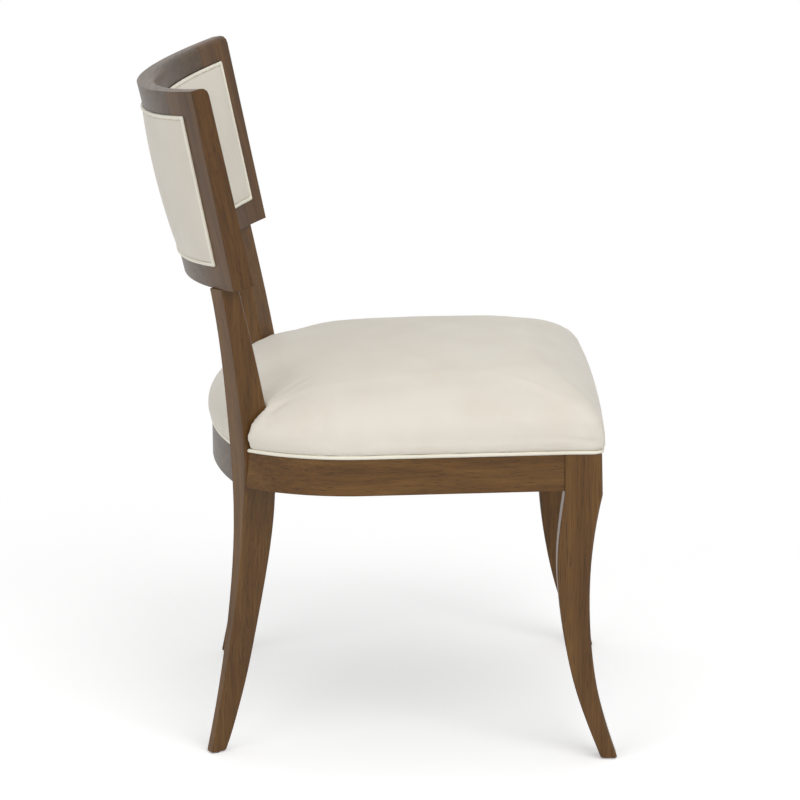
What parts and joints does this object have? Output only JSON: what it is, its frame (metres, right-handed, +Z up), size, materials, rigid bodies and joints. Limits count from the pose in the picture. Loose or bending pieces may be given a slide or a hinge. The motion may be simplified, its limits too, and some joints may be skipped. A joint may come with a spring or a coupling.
{
  "type": "klismos dining chair",
  "caption": "Klismos dining chair with sabre legs, a curved padded back on raked posts and a crowned, welted seat cushion.",
  "frame": {"origin": "centre of the chair's footprint, on the floor", "axes": "+Z up; +X towards the sitter's left; the chair faces -Y"},
  "size_m": [0.5558, 0.6262, 0.8878],
  "materials": {
    "walnut": "satin",
    "ivory_upholstery": "matte",
    "ivory_welt": "matte",
    "black_cambric": "matte",
    "plywood": "matte",
    "blockwood": "matte",
    "beech_dowel": "matte",
    "zinc_screw": "satin",
    "nylon_glide": "matte"
  },
  "bodies": {
    "root": {"back_core_board": "plywood", "back_frame_dowels": "beech_dowel", "back_post_dowels": "beech_dowel", "back_stile_left": "walnut", "back_stile_right": "walnut", "corner_block_front_left": "blockwood", "corner_block_front_right": "blockwood", "corner_block_rear_left": "blockwood", "corner_block_rear_right": "blockwood", "corner_screws": "zinc_screw", "crest_rail": "walnut", "dust_cover": "black_cambric", "foot_glides": "nylon_glide", "front_leg_dowels": "beech_dowel", "front_leg_left": "walnut", "front_leg_right": "walnut", "front_seat_rail": "walnut", "inner_back_pad": "ivory_upholstery", "inner_back_welt": "ivory_welt", "lower_back_rail": "walnut", "outer_back_pad": "ivory_upholstery", "outer_back_welt": "ivory_welt", "rear_leg_dowels": "beech_dowel", "rear_leg_left": "walnut", "rear_leg_right": "walnut", "rear_seat_rail": "walnut", "seat_board": "plywood", "seat_cushion": "ivory_upholstery", "seat_front_welt": "ivory_welt", "seat_rear_welt": "ivory_welt", "seat_screws": "zinc_screw", "side_seat_rail_left": "walnut", "side_seat_rail_right": "walnut"}
  },
  "joints": []
}
